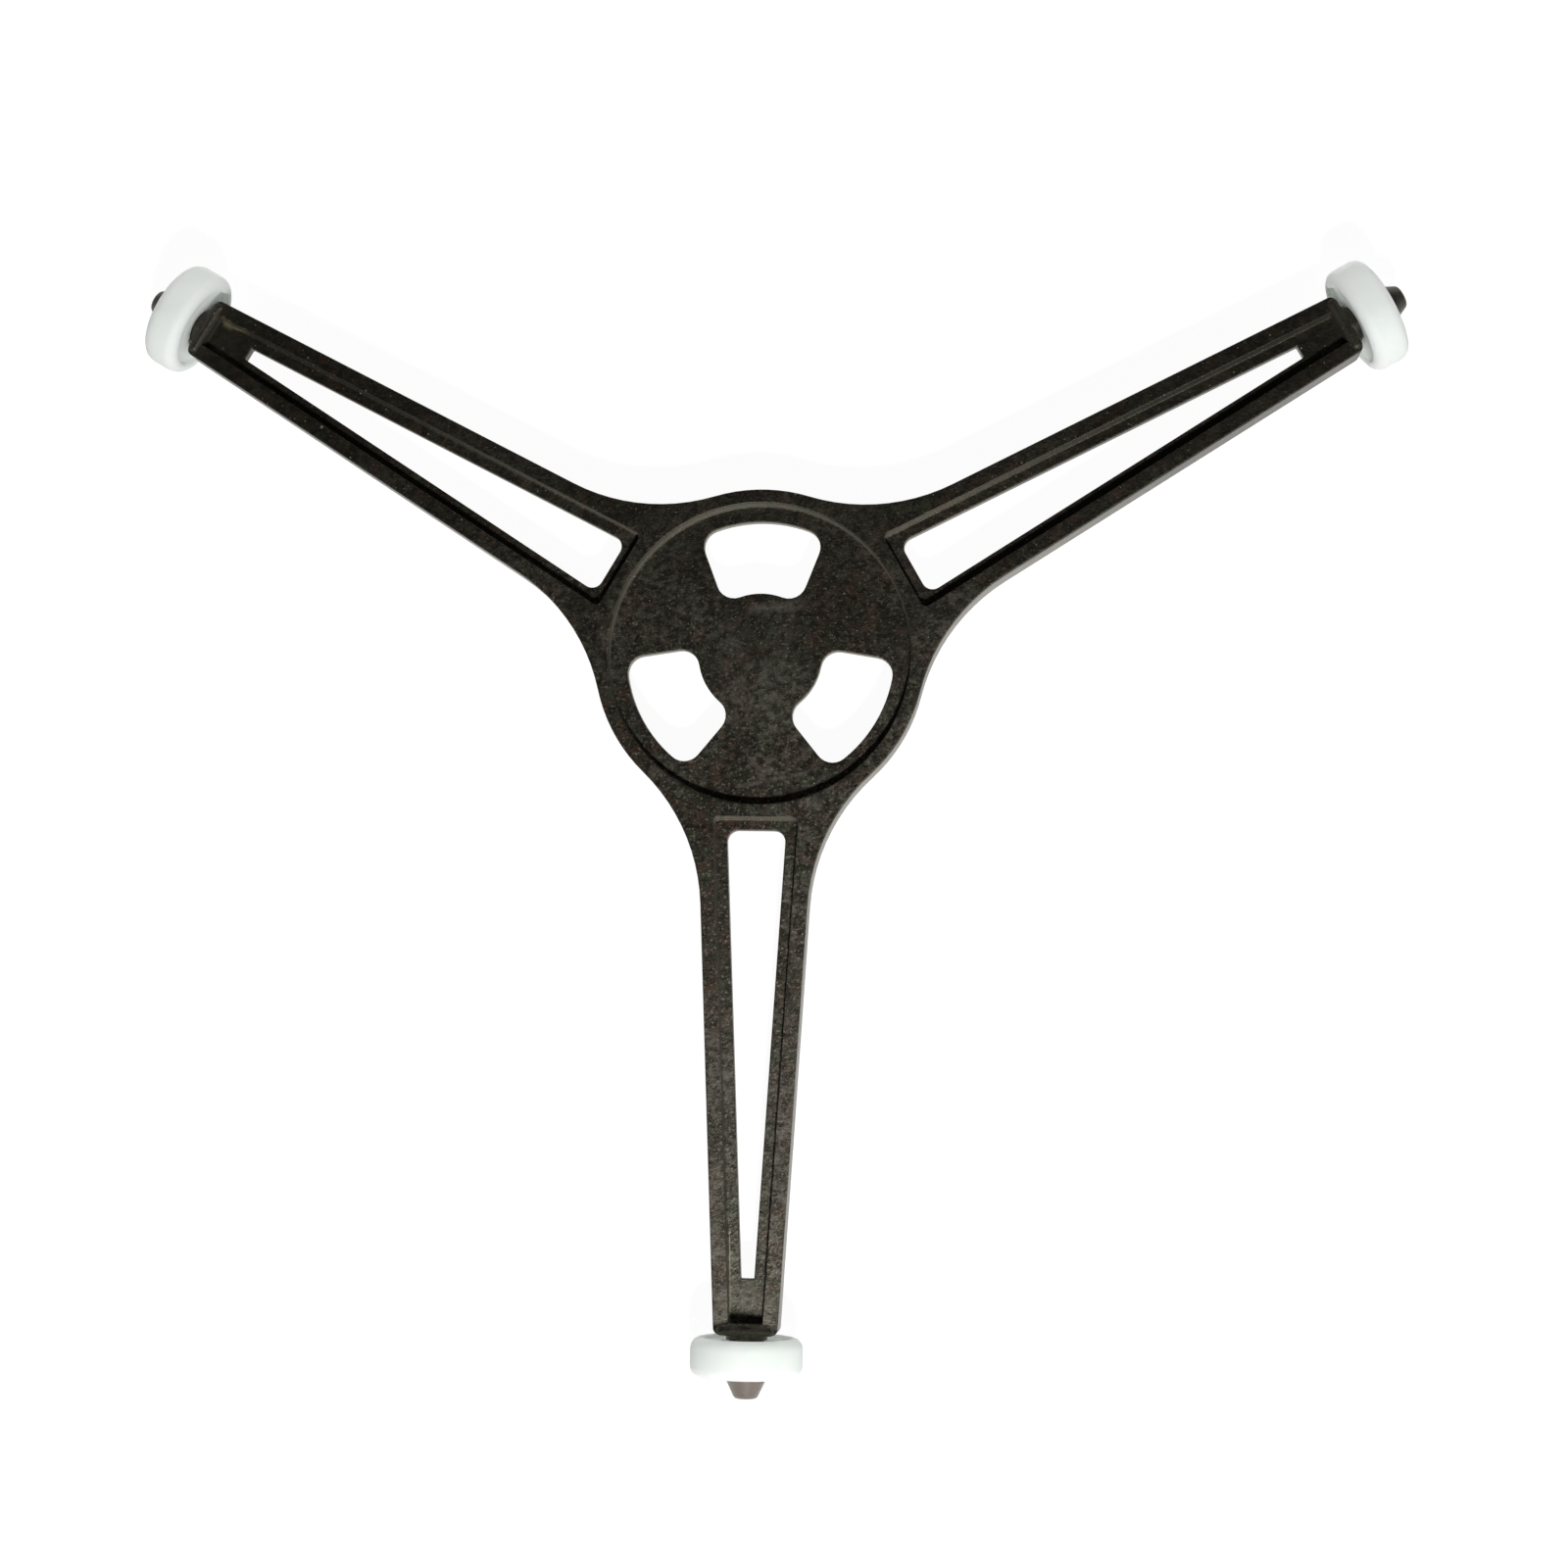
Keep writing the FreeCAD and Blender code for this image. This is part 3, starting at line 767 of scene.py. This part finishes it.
def turned_piece_tree():
    """Tree that turns a half section with rounded corners about an arm's axis."""
    writer, given = geometry_tree(TURNED_TREE, [
        ("Profile", "NodeSocketGeometry"),
        ("Closed", "NodeSocketInt"),
        ("Segments", "NodeSocketInt"),
        ("Corner Steps", "NodeSocketInt"),
        ("Angle", "NodeSocketFloat"),
        ("Sharp Angle", "NodeSocketFloat"),
        ("Material", "NodeSocketMaterial"),
    ])
    rounds = writer.add("GeometryNodeInputNamedAttribute", {"Name": ROUND_ATTRIBUTE}, data_type="FLOAT")
    curve = writer.add("GeometryNodeMeshToCurve", {"Mesh": given["Profile"]})
    corners = {"Curve": curve, "Count": given["Corner Steps"], "Radius": rounds.outputs["Attribute"]}
    filleted = writer.add("GeometryNodeFilletCurve", {**corners, "Limit Radius": True}, mode="POLY")
    points = writer.add("GeometryNodeCurveToPoints", {"Curve": filleted}, mode="EVALUATED")
    size = writer.add("GeometryNodeAttributeDomainSize", {"Geometry": points}, component="POINTCLOUD")
    count = size.outputs["Point Count"]
    rows = writer.math("ADD", count, given["Closed"])
    columns = writer.math("ADD", given["Segments"], 1.0)
    grid = writer.add("GeometryNodeMeshGrid", {"Vertices X": columns, "Vertices Y": rows})
    index = writer.add("GeometryNodeInputIndex").outputs["Index"]
    column = writer.math("FLOOR", writer.math("DIVIDE", writer.math("ADD", index, 0.5), rows))
    row = writer.math("SUBTRACT", index, writer.math("MULTIPLY", column, rows))
    wrapped = writer.math("MODULO", row, count)
    place = writer.add("GeometryNodeInputPosition")
    sample = writer.add(
        "GeometryNodeSampleIndex", {"Geometry": points, "Value": place, "Index": wrapped},
        data_type="FLOAT_VECTOR", domain="POINT",
    )
    corner = writer.add("ShaderNodeSeparateXYZ", {0: sample}).outputs
    turn = writer.math("MULTIPLY", column, writer.math("DIVIDE", math.tau, given["Segments"]))
    across = writer.math("MULTIPLY", corner["Y"], writer.math("COSINE", turn))
    upward = writer.math("MULTIPLY", corner["Y"], writer.math("SINE", turn))
    round_place = writer.add("ShaderNodeCombineXYZ", {"X": corner["X"], "Y": across, "Z": upward})
    shaped = writer.add("GeometryNodeSetPosition", {"Geometry": grid, "Position": round_place})
    merged = writer.add("GeometryNodeMergeByDistance", {"Geometry": shaped, "Distance": SAME_POINT})
    arm_turn = writer.add("ShaderNodeCombineXYZ", {"Z": given["Angle"]})
    placed = writer.add("GeometryNodeTransform", {"Geometry": merged, "Rotation": arm_turn})
    finish_tree(writer, placed, given["Material"], given["Sharp Angle"])
    return writer.tree


def armed_moulding_tree(turned_tree):
    """Tree that sets an end bar and a stub axle on each arm and makes them one body with the plate."""
    writer, given = geometry_tree("Armed moulding", [
        ("Plate", "NodeSocketGeometry"),
        ("End Bar", "NodeSocketObject"),
        ("Axle Profile", "NodeSocketObject"),
        ("Arms", "NodeSocketInt"),
        ("First Angle", "NodeSocketFloat"),
        ("Segments", "NodeSocketInt"),
        ("Corner Steps", "NodeSocketInt"),
        ("Sharp Angle", "NodeSocketFloat"),
        ("Material", "NodeSocketMaterial"),
    ])
    bar = writer.add("GeometryNodeObjectInfo", {"Object": given["End Bar"]}).outputs["Geometry"]
    profile = writer.add("GeometryNodeObjectInfo", {"Object": given["Axle Profile"]}).outputs["Geometry"]
    axle = writer.add("GeometryNodeGroup", node_tree=turned_tree)
    writer.join(profile, axle.inputs["Profile"])
    for name in (*TURNING, "Material"):
        writer.join(given[name], axle.inputs[name])
    arms = writer.add("GeometryNodePoints", {"Count": given["Arms"]})
    index = writer.add("GeometryNodeInputIndex").outputs["Index"]
    step = writer.math("DIVIDE", math.tau, given["Arms"])
    turn = writer.math("ADD", given["First Angle"], writer.math("MULTIPLY", index, step))
    rotation = writer.add("ShaderNodeCombineXYZ", {"Z": turn})
    union = writer.add("GeometryNodeMeshBoolean", operation="UNION", solver="MANIFOLD")
    writer.join(given["Plate"], union.inputs["Mesh 2"])
    for piece in (bar, axle):
        copies = writer.add(
            "GeometryNodeInstanceOnPoints", {"Points": arms, "Instance": piece, "Rotation": rotation}
        )
        real = writer.add("GeometryNodeRealizeInstances", {"Geometry": copies})
        writer.join(real, union.inputs["Mesh 2"])
    finish_tree(writer, union, given["Material"], given["Sharp Angle"])
    return writer.tree


def grown_by_tree(obj, tree, values):
    """Gives an object a tree with its inputs, weighs its normals and returns the result as a plain mesh."""
    modifier = obj.modifiers.new(tree.name, "NODES")
    modifier.node_group = tree
    for item in tree.interface.items_tree:
        if item.in_out == "INPUT" and item.name in values:
            modifier[item.identifier] = values[item.name]
    weighted = obj.modifiers.new("Weighted normals", "WEIGHTED_NORMAL")
    weighted.keep_sharp = True
    bpy.context.view_layer.update()
    graph = bpy.context.evaluated_depsgraph_get()
    mesh = bpy.data.meshes.new_from_object(
        obj.evaluated_get(graph), preserve_all_data_layers=True, depsgraph=graph
    )
    obj.modifiers.clear()
    if not mesh.polygons:
        raise RuntimeError(f"{tree.name} made no faces")
    return mesh


def empty_material(name):
    """A material without nodes, and its writer."""
    material = bpy.data.materials.new(name)
    material.use_nodes = True
    material.node_tree.nodes.clear()
    return material, NodeWriter(material.node_tree)


def plastic_material(name):
    """A material with its writer, surface shader and Object coordinates."""
    material, writer = empty_material(name)
    shader = writer.add("ShaderNodeBsdfPrincipled")
    writer.add("ShaderNodeOutputMaterial", {"Surface": shader})
    return material, writer, shader, writer.add("ShaderNodeTexCoord").outputs["Object"]


def noise(writer, place, kind):
    """Noise on Object coordinates, from 0 to 1."""
    scale, detail, roughness = kind
    inputs = {"Vector": place, "Scale": scale, "Detail": detail, "Roughness": roughness}
    return writer.add("ShaderNodeTexNoise", inputs).outputs[0]


def ramp(writer, value, band):
    """A value stretched so that the first end of a band becomes 0 and the second 1."""
    inputs = {"Value": value, "From Min": band[0], "From Max": band[1]}
    return writer.add("ShaderNodeMapRange", inputs, interpolation_type="SMOOTHSTEP").outputs[0]


def product(writer, first, *others):
    """Values multiplied with each other."""
    for other in others:
        first = writer.math("MULTIPLY", first, other)
    return first


def scaled(writer, value, share, base):
    """A share of a value on top of a base."""
    return writer.math("ADD", product(writer, value, share), base)


def opaque(colour_value):
    """A colour with full alpha."""
    return (*colour_value, 1.0)


def mixed(writer, factor, first, second):
    """A mix of two tones, each of them a colour or a socket."""
    node = writer.add("ShaderNodeMix", {"Factor": factor}, data_type="RGBA")
    for tone, name in ((first, "A_Color"), (second, "B_Color")):
        socket = next(item for item in node.inputs if item.identifier == name)
        writer.join(tone if isinstance(tone, bpy.types.NodeSocket) else opaque(tone), socket)
    return next(item for item in node.outputs if item.identifier == "Result_Color")


def bumped(writer, shader, height, strength):
    """Gives a shader the relief of a height."""
    bump = writer.add("ShaderNodeBump", {"Height": height, "Strength": strength, "Distance": BUMP_DEPTH})
    writer.join(bump, shader.inputs["Normal"])


def mark(writer, plan, start, end, width):
    """Strength of a straight soft-edged mark between two places seen from above, in millimetres."""
    first = Vector((*start, 0.0)) * MM
    span = Vector((*end, 0.0)) * MM - first
    reach = writer.add("ShaderNodeVectorMath", {0: plan, 1: first}, operation="SUBTRACT")
    if span.length > SAME_POINT:
        unit = span / span.length_squared
        share = writer.add("ShaderNodeVectorMath", {0: reach, 1: unit}, operation="DOT_PRODUCT")
        along = writer.math("MINIMUM", writer.math("MAXIMUM", share.outputs["Value"], 0.0), 1.0)
        foot = writer.add("ShaderNodeVectorMath", {0: span, "Scale": along}, operation="SCALE")
        reach = writer.add("ShaderNodeVectorMath", {0: reach, 1: foot}, operation="SUBTRACT")
    distance = writer.add("ShaderNodeVectorMath", {0: reach}, operation="LENGTH").outputs["Value"]
    return ramp(writer, distance, (width * MM, 0.0))


def surroundings(writer, coordinates):
    """Noises, place and direction of a point on the frame."""
    here = SimpleNamespace()
    for name, kind in FRAME_NOISE.items():
        setattr(here, name, noise(writer, coordinates, kind))
    place = writer.add("ShaderNodeSeparateXYZ", {0: coordinates}).outputs
    here.y, here.z = place["Y"], place["Z"]
    here.plan = writer.add("ShaderNodeCombineXYZ", {"X": place["X"], "Y": here.y}).outputs[0]
    here.radius = writer.add("ShaderNodeVectorMath", {0: here.plan}, operation="LENGTH").outputs["Value"]
    normal = writer.add("ShaderNodeNewGeometry").outputs["Normal"]
    facing = writer.add("ShaderNodeSeparateXYZ", {0: normal}).outputs
    here.backwards = facing["Y"]
    here.slope = writer.math("ABSOLUTE", facing["Z"])
    return here


def dusty_tone(writer, finish, here):
    """Mottled plastic under dust, with a patchy veil on the first arm, and painted light: the tone, the
    dust film and the pale grain grow towards the first arm, nearest the main lamp, and the back is darker.
    """
    tinted = mixed(writer, ramp(writer, here.clouds, RED_TINT), finish.frame_red, finish.frame_middle)
    tinted = mixed(writer, ramp(writer, here.clouds, GREEN_TINT), tinted, finish.frame_green)
    mottled = mixed(writer, ramp(writer, here.blotches, MOTTLING), finish.frame_dark, tinted)
    # painted light: lighter towards the first arm, nearest the main lamp, and darker towards the back
    front = ramp(writer, here.y, LIT_FRONT_SIDE)
    shaded = mixed(writer, scaled(writer, front, *LIT_FRONT_SHARE), finish.frame_dark, mottled)
    on_arm = ramp(writer, here.y, OUT_ON_ARM)
    on_ledge = product(writer, ramp(writer, here.z, LEDGE_HEIGHT), on_arm)
    dust = mixed(writer, on_ledge, finish.frame_dust, finish.frame_ledge)
    dusty = ramp(writer, here.blotches, DUST_SPREAD)
    # dust film and painted light: the film grows towards the first arm, nearest the main lamp
    film = product(writer, ramp(writer, here.film, FILM_SPREAD), dusty, front)
    patchy = scaled(writer, ramp(writer, here.patches, PATCH_SPREAD), *PATCHY_SHARE)
    arm_veil = product(writer, on_arm, VEIL_SHARE)
    veil = product(writer, ramp(writer, here.veil, VEIL_SPREAD), patchy, arm_veil)
    filmed = mixed(writer, writer.math("MAXIMUM", film, veil), shaded, dust)
    # pale grain and painted light: the grain grows towards the first arm, nearest the main lamp
    salted = product(writer, ramp(writer, here.grain, SALT_SPREAD), writer.math("ADD", front, SALT_BASE))
    grained = mixed(writer, salted, filmed, finish.frame_light)
    return mixed(writer, ramp(writer, here.specks, SPECK_SPREAD), grained, finish.frame_speck)


def scuffed_and_lit_tone(writer, finish, tone, here):
    """Paler upright walls, partly scuff and partly painted light: most by the hub, on the first arm and on
    walls that face the main lamp, least by the rims and at the back.
    """
    upright = ramp(writer, here.slope, UPRIGHT_SLOPE)
    # wear and painted light: walls paler by the hub and on the first arm, nearest the main lamp
    worn = writer.math("MAXIMUM", ramp(writer, here.radius, WEAR_AND_LIGHT_HUB), ramp(writer, here.y, WEAR_AND_LIGHT_ARM))
    lower_down = scaled(writer, ramp(writer, here.z, WALL_HEIGHT), *WALL_SHARE)
    # painted light: walls that face the front, towards the main lamp, are painted paler, more so low down
    lit_front_walls = product(writer, ramp(writer, here.backwards, LIT_WALL_TURN), lower_down)
    exposed_and_lit = writer.math("MAXIMUM", lit_front_walls, ramp(writer, here.z, UNDER_FLOOR))
    scuff_and_light = product(writer, upright, scaled(writer, worn, *WEAR_AND_LIGHT_SHARE), exposed_and_lit)
    return mixed(writer, scuff_and_light, tone, finish.frame_wall_scuff_and_light)


def marked_tone(writer, finish, tone, here):
    """Marks on the upper side, broken up by the mottling; the last one is a painted highlight on the first
    arm's end bar.
    """
    upper = ramp(writer, here.z, UPPER_SIDE)
    breaks = ramp(writer, here.blotches, MARK_BREAKS)
    for start, end, width, strength, mark_tone in MARKS:
        strong = product(writer, mark(writer, here.plan, start, end, width), breaks, upper, strength)
        tone = mixed(writer, strong, tone, getattr(finish, mark_tone))
    return tone


def frame_plastic(finish):
    """Dark mineral-filled plastic with dust, scuffs, marks and polished axles, and with painted light:
    lighter towards the first arm, paler walls that face the main lamp, a painted highlight on the first end
    bar and a pale end on the first axle.
    """
    material, writer, shader, coordinates = plastic_material("frame_plastic")
    here = surroundings(writer, coordinates)
    on_axle = ramp(writer, here.radius, AXLE_BAND)
    tone = dusty_tone(writer, finish, here)
    tone = scuffed_and_lit_tone(writer, finish, tone, here)
    tone = marked_tone(writer, finish, tone, here)
    tone = mixed(writer, on_axle, tone, finish.frame_dark)
    # painted light: the first axle's end, which faces the main lamp, is painted pale
    tone = mixed(writer, ramp(writer, here.y, LIT_AXLE_END), tone, finish.frame_lit_axle_end)
    writer.join(tone, shader.inputs["Base Color"])

    sloping = product(writer, ramp(writer, here.slope, EDGE_START), ramp(writer, here.slope, EDGE_END))
    edges = product(writer, sloping, EDGE_ROUGHNESS)
    uneven = product(writer, writer.math("ADD", here.blotches, here.film), FRAME_UNEVEN)
    dull = writer.math("ADD", writer.math("ADD", uneven, edges), FRAME_ROUGHNESS)
    polish = product(writer, on_axle, AXLE_GLOSS)
    writer.join(writer.math("SUBTRACT", dull, polish), shader.inputs["Roughness"])
    shader.inputs["Specular IOR Level"].default_value = FRAME_SPECULAR
    shader.inputs["Specular Tint"].default_value = FRAME_SPECULAR_TINT
    coarse = writer.math("ADD", here.blotches, here.patches)
    bumped(writer, shader, scaled(writer, here.grain, GRAIN_RELIEF, coarse), FRAME_BUMP)
    return material


def roller_plastic(finish):
    """Milky low-friction plastic, a little translucent, with faint clouds and a fine grain."""
    material, writer, shader, coordinates = plastic_material("roller_plastic")
    clouds = ramp(writer, noise(writer, coordinates, ROLLER_CLOUDS), ROLLER_SPREAD)
    grain = noise(writer, coordinates, ROLLER_GRAIN)
    tone = mixed(writer, clouds, finish.roller_white, finish.roller_cool)
    writer.join(tone, shader.inputs["Base Color"])
    writer.join(scaled(writer, grain, *ROLLER_ROUGHNESS), shader.inputs["Roughness"])
    shader.inputs["Subsurface Weight"].default_value = 1.0
    shader.inputs["Subsurface Radius"].default_value = (1.0, 1.0, 1.0)
    shader.inputs["Subsurface Scale"].default_value = ROLLER_DEPTH
    shader.inputs["Specular IOR Level"].default_value = ROLLER_SPECULAR
    bumped(writer, shader, grain, ROLLER_BUMP)
    return material


def backdrop_material(floor_colour):
    """Pale floor that shows white to the camera and in reflections, and keeps a faint shadow."""
    material, writer = empty_material("backdrop")
    path = writer.add("ShaderNodeLightPath").outputs
    seen = writer.math("MAXIMUM", path["Is Camera Ray"], path["Is Glossy Ray"])
    plain = writer.add("ShaderNodeBsdfDiffuse", {"Color": opaque(floor_colour)})
    faint = writer.add("ShaderNodeBsdfDiffuse", {"Color": SHADOW_FLOOR})
    white = writer.add("ShaderNodeEmission", {"Color": WHITE, "Strength": WHITE_STRENGTH})
    bright = writer.add("ShaderNodeAddShader", {0: faint, 1: white})
    surface = writer.add("ShaderNodeMixShader", {0: seen, 1: plain, 2: bright})
    writer.add("ShaderNodeOutputMaterial", {"Surface": surface})
    return material


def area_lamp(name, place, size, watts, glossy):
    """A soft lamp aimed at the origin."""
    data = bpy.data.lights.new(name, "AREA")
    data.shape = "RECTANGLE"
    data.size, data.size_y = size
    data.energy = watts
    lamp = new_object(name, data)
    lamp.location = place
    lamp.rotation_euler = Vector(place).to_track_quat("Z", "Y").to_euler()
    lamp.visible_glossy = glossy


def hand_over(piece, body, nodes):
    """Ties a finished piece to the frame."""
    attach(piece, body)
    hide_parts(*nodes)


def removed(*objects):
    """Deletes helper objects and their meshes."""
    for helper in objects:
        data = helper.data
        bpy.data.objects.remove(helper)
        bpy.data.meshes.remove(data)


def shared_tree():
    """The tree for turned pieces, made once."""
    return bpy.data.node_groups.get(TURNED_TREE) or turned_piece_tree()


class ROLLERRING_OT_spider_moulding(bpy.types.Operator):
    """Build the three-armed moulding with its end bars, axles and drive boss"""

    bl_idname = "roller_ring.spider_moulding"
    bl_label = "Spider moulding"

    def execute(self, context):
        settings = context.scene.roller_ring
        p = worked_out(settings)
        plate = new_object("spider_plate", plate_mesh(settings.moulding, p))
        bar = new_object("end_bar", end_bar_mesh(settings.moulding, p))
        profile = profile_object("axle_profile", axle_profile(settings, p), closed=False)
        mesh = grown_by_tree(plate, armed_moulding_tree(shared_tree()), {
            "End Bar": bar,
            "Axle Profile": profile,
            "Arms": len(JOINTS),
            "First Angle": ARM_ANGLES[0],
            "Material": frame_plastic(settings.finish),
            **TURNING,
        })
        removed(plate, bar, profile)
        piece = new_object("spider_moulding", mesh)
        hand_over(piece, FRAME_BODY, [SPIDER_NODE])
        return {"FINISHED"}


class ROLLERRING_OT_rollers(bpy.types.Operator):
    """Build the roller on the end of each arm"""

    bl_idname = "roller_ring.rollers"
    bl_label = "Rollers"

    def execute(self, context):
        settings = context.scene.roller_ring
        p = worked_out(settings)
        material = roller_plastic(settings.finish)
        for joint, angle in zip(JOINTS, ARM_ANGLES):
            body = joint["child"]
            profile = profile_object("roller_profile", roller_profile(settings, p), closed=True)
            mesh = grown_by_tree(profile, shared_tree(), {
                "Closed": 1,
                "Angle": angle,
                "Material": material,
                **TURNING,
            })
            removed(profile)
            piece = new_object(body + "_wheel", mesh)
            hand_over(piece, body, BODIES[body])
        return {"FINISHED"}


class ROLLERRING_OT_stage(bpy.types.Operator):
    """Set the pale backdrop, the lamps and the camera"""

    bl_idname = "roller_ring.stage"
    bl_label = "Stage"

    def execute(self, context):
        scene = context.scene
        stage = scene.roller_ring.stage
        self.backdrop(stage)
        for name, place, size, setting, glossy in LAMPS:
            area_lamp(name, place, size, getattr(stage, setting), glossy)
        world = bpy.data.worlds.new("studio")
        world.use_nodes = True
        background = world.node_tree.nodes["Background"].inputs
        background["Strength"].default_value = stage.world_strength
        background["Color"].default_value = WHITE
        scene.world = world
        data = bpy.data.cameras.new("camera")
        data.lens = stage.camera_lens
        data.clip_start = CAMERA_CLIP
        camera = new_object("camera", data)
        camera.location = stage.camera_place
        camera.rotation_euler = stage.camera_turn
        scene.camera = camera
        scene.view_settings.view_transform = "Standard"
        return {"FINISHED"}

    def backdrop(self, stage):
        """A round floor that curves up into a wall, under the lowest point of the part."""
        floor = CAD_BOX[0].z
        top = floor + stage.backdrop_height
        corners = [(-stage.backdrop_radius, floor), (0, floor), (0, top)]
        profile = section(corners, [stage.backdrop_round]) + [(0, top)]
        bm = bmesh.new()
        inner, _ = swept(bm, circle(stage.backdrop_radius), profile)
        filled(bm, inner)
        bmesh.ops.recalc_face_normals(bm, faces=bm.faces)
        mesh = bpy.data.meshes.new("backdrop")
        bm.to_mesh(mesh)
        bm.free()
        mesh.shade_smooth()
        mesh.materials.append(backdrop_material(stage.floor_colour))
        new_object("backdrop", mesh)


class ROLLERRING_PT_panel(bpy.types.Panel):
    """Lists the pieces of the roller ring"""

    bl_idname = "ROLLERRING_PT_panel"
    bl_label = "Roller ring"
    bl_space_type = "VIEW_3D"
    bl_region_type = "UI"
    bl_category = "Roller ring"

    def draw(self, context):
        for operator in OPERATORS:
            self.layout.operator(operator.bl_idname)
        settings = context.scene.roller_ring
        for group in (settings.moulding, settings.axle, settings.roller, settings.finish, settings.stage):
            box = self.layout.box()
            for name in group.bl_rna.properties.keys():
                if name not in ("rna_type", "name"):
                    box.prop(group, name)


OPERATORS = (ROLLERRING_OT_spider_moulding, ROLLERRING_OT_rollers, ROLLERRING_OT_stage)
CLASSES = (
    MouldingSizes, AxleSizes, RollerSizes, FinishColours, StageSettings, RollerRingSettings,
    *OPERATORS, ROLLERRING_PT_panel,
)


def register():
    """Registers the classes and the scene's settings."""
    for item in CLASSES:
        bpy.utils.register_class(item)
    bpy.types.Scene.roller_ring = PointerProperty(type=RollerRingSettings)


def unregister():
    """Takes the settings and the classes away again."""
    del bpy.types.Scene.roller_ring
    for item in reversed(CLASSES):
        bpy.utils.unregister_class(item)


def main():
    """Builds the part and its stage."""
    register()
    bpy.ops.roller_ring.spider_moulding()
    bpy.ops.roller_ring.rollers()
    bpy.ops.roller_ring.stage()


if __name__ == "__main__":
    main()
